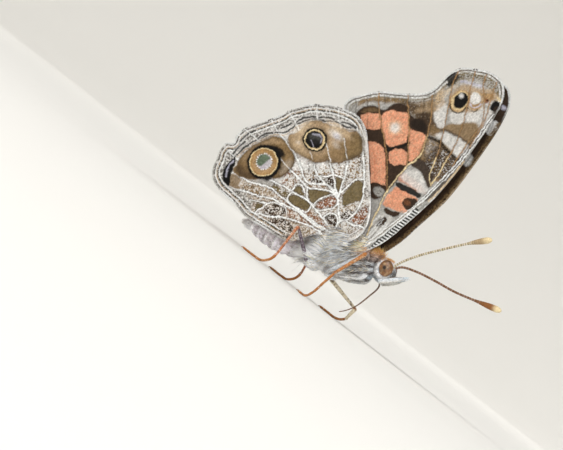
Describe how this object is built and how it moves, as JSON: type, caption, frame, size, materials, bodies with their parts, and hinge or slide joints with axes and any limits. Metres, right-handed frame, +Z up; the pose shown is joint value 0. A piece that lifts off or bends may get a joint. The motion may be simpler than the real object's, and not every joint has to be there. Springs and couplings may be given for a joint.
{
  "type": "american painted lady butterfly",
  "caption": "Life-size still model of an American painted lady butterfly standing with its wings closed upright, with ridged veins, clubbed antennae, palps and a lowered tongue.",
  "frame": {"origin": "on the floor, under the middle of the box round the butterfly, in its plane of symmetry", "axes": "+X towards the head, +Y to its left side, +Z up, away from the floor that it stands on"},
  "size_m": [0.04, 0.016, 0.0361],
  "materials": {
    "fur": "long grey-white hair over brown skin",
    "head_fur": "tan and grey hair",
    "tongue": "dark smooth tube",
    "eye": "brown compound eye with a dark centre and a pale rim",
    "palp_scales": "white and grey scales",
    "antenna": "finely banded cream and brown",
    "forewing": "scaled membrane, rose and tan with dark marks",
    "hindwing": "scaled membrane, tan network with two eyespots",
    "femur": "grey scaled",
    "leg": "orange tan, faintly glossy"
  },
  "bodies": {
    "root": {"thorax": "fur", "abdomen": "fur", "head": "head_fur", "proboscis": "tongue", "eye_right": "eye", "palp_right": "palp_scales", "antenna_right": "antenna", "forewing_right": "forewing", "hindwing_right": "hindwing", "foreleg_right": "palp_scales", "mid_femur_right": "femur", "mid_tibia_right": "leg", "mid_tarsus_right": "leg", "hind_femur_right": "femur", "hind_tibia_right": "leg", "hind_tarsus_right": "leg", "eye_left": "eye", "palp_left": "palp_scales", "antenna_left": "antenna", "forewing_left": "forewing", "hindwing_left": "hindwing", "foreleg_left": "palp_scales", "mid_femur_left": "femur", "mid_tibia_left": "leg", "mid_tarsus_left": "leg", "hind_femur_left": "femur", "hind_tibia_left": "leg", "hind_tarsus_left": "leg"}
  },
  "joints": []
}
